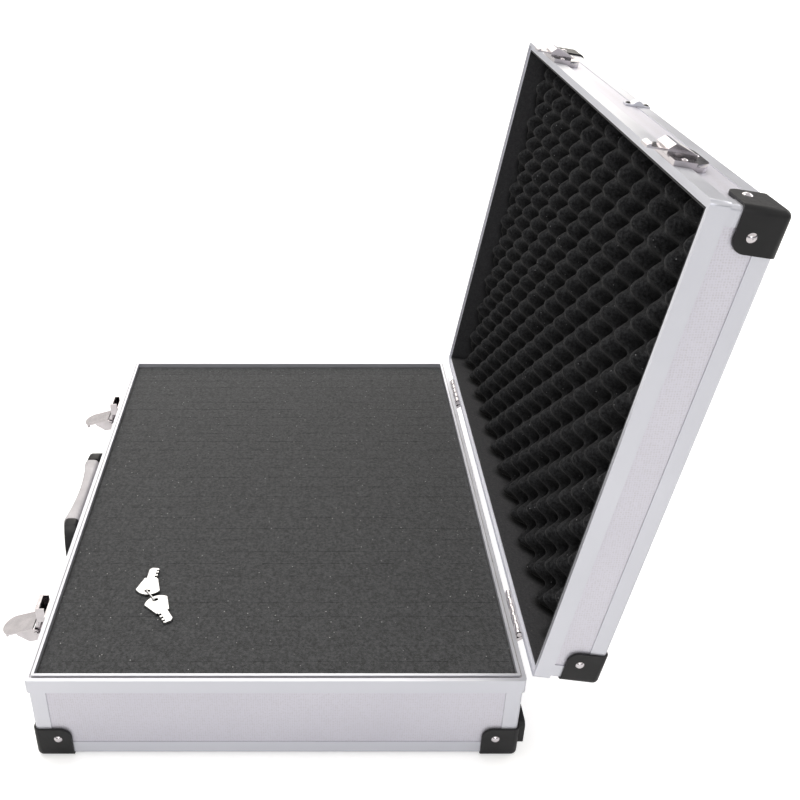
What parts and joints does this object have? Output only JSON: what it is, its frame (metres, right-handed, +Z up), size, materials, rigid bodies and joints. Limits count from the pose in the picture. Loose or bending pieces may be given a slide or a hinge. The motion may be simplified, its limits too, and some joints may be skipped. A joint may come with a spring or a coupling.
{
  "type": "foam-lined carrying case",
  "caption": "Open aluminium-framed carrying case with cubed base foam, egg-crate lid foam, draw latches, folding handle and loose keys.",
  "frame": {"origin": "on the ground under the middle of the base, under its corner caps", "axes": "X is the width, +Y towards the hinges at the back, -Y the front with the latches and handle, +Z up"},
  "size_m": [0.463, 0.4946, 0.435],
  "materials": {
    "panel_silver": "thin embossed silver sheet on the wall panels, satin",
    "frame_silver": "satin anodised aluminium extrusions",
    "bright_metal": "bright plated steel of the latches, keepers, hinges and rivets",
    "key_nickel": "nickel-plated key and wire",
    "black_plastic": "black moulded plastic",
    "grip_grey": "silver-grey plastic grip",
    "base_foam": "dark grey open-cell foam, cubed",
    "lid_foam": "charcoal egg-crate foam",
    "lining_grey": "dark grey thin foam lining"
  },
  "bodies": {
    "base": {"base_floor": "panel_silver", "base_front": "panel_silver", "base_back": "panel_silver", "base_left": "panel_silver", "base_right": "panel_silver", "base_rim": "frame_silver", "base_bottom_frame": "frame_silver", "base_corner_posts": "frame_silver", "base_corner_caps": "black_plastic", "base_cap_rivets": "bright_metal", "base_rear_feet": "black_plastic", "foam_pad": "base_foam", "foam_cubed": "base_foam", "hinge_base_leaves": "bright_metal", "hinge_pins": "bright_metal", "hinge_base_rivets": "bright_metal", "latch_plate_left": "bright_metal", "latch_plate_right": "bright_metal", "latch_rivets": "bright_metal", "latch_lever_pins": "bright_metal", "handle_mounts": "black_plastic", "handle_mount_rivets": "bright_metal", "handle_pins": "bright_metal"},
    "lid": {"lid_roof": "panel_silver", "lid_front": "panel_silver", "lid_back": "panel_silver", "lid_left": "panel_silver", "lid_right": "panel_silver", "lid_rim": "frame_silver", "lid_roof_frame": "frame_silver", "lid_corner_posts": "frame_silver", "lid_corner_caps": "black_plastic", "lid_cap_rivets": "bright_metal", "lid_lining": "lining_grey", "lid_foam": "lid_foam", "front_clip": "frame_silver", "front_clip_rivets": "black_plastic", "hinge_lid_leaves": "bright_metal", "hinge_lid_rivets": "bright_metal", "keeper_left": "bright_metal", "keeper_right": "bright_metal", "keeper_rivets": "bright_metal"},
    "lever_left": {"latch_lever_left": "bright_metal", "claw_pin_left": "bright_metal"},
    "lever_right": {"latch_lever_right": "bright_metal", "claw_pin_right": "bright_metal"},
    "claw_left": {"latch_claw_left": "bright_metal"},
    "claw_right": {"latch_claw_right": "bright_metal"},
    "plug_left": {"lock_plug_left": "bright_metal"},
    "plug_right": {"lock_plug_right": "bright_metal"},
    "handle": {"handle_arms": "black_plastic", "handle_grip": "grip_grey"},
    "keys": {"key_upper": "key_nickel", "key_lower": "key_nickel", "key_link": "key_nickel"}
  },
  "joints": [
    {"name": "lid_hinge", "type": "hinge", "parent": "base", "child": "lid", "pos_m": [0, 0.1778, 0.0767], "axis": [-1, 0, 0], "range_deg": [-99, 0]},
    {"name": "latch_lever_left", "type": "hinge", "parent": "base", "child": "lever_left", "pos_m": [-0.15, -0.1832, 0.0505], "axis": [-1, 0, 0], "range_deg": [-74, 16]},
    {"name": "latch_claw_left", "type": "hinge", "parent": "lever_left", "child": "claw_left", "pos_m": [-0.15, -0.18755, 0.05167], "axis": [-1, 0, 0], "range_deg": [-16, 74]},
    {"name": "lock_plug_left", "type": "hinge", "parent": "base", "child": "plug_left", "pos_m": [-0.15, -0.1768, 0.0113], "axis": [0, -1, 0], "range_deg": [0, 90]},
    {"name": "latch_lever_right", "type": "hinge", "parent": "base", "child": "lever_right", "pos_m": [0.15, -0.1832, 0.0505], "axis": [-1, 0, 0], "range_deg": [-74, 16]},
    {"name": "latch_claw_right", "type": "hinge", "parent": "lever_right", "child": "claw_right", "pos_m": [0.15, -0.18755, 0.05167], "axis": [-1, 0, 0], "range_deg": [-16, 74]},
    {"name": "lock_plug_right", "type": "hinge", "parent": "base", "child": "plug_right", "pos_m": [0.15, -0.1768, 0.0113], "axis": [0, -1, 0], "range_deg": [0, 90]},
    {"name": "handle_fold", "type": "hinge", "parent": "base", "child": "handle", "pos_m": [0, -0.1827, 0.0385], "axis": [1, 0, 0], "range_deg": [0, 175]},
    {"name": "keys_lift", "type": "slide", "parent": "base", "child": "keys", "axis": [0, 0, 1], "range_m": [0, 0.12]}
  ],
  "couplings": [
    {"joint": "latch_claw_left", "follows": "latch_lever_left", "ratio": -1},
    {"joint": "latch_claw_right", "follows": "latch_lever_right", "ratio": -1}
  ]
}
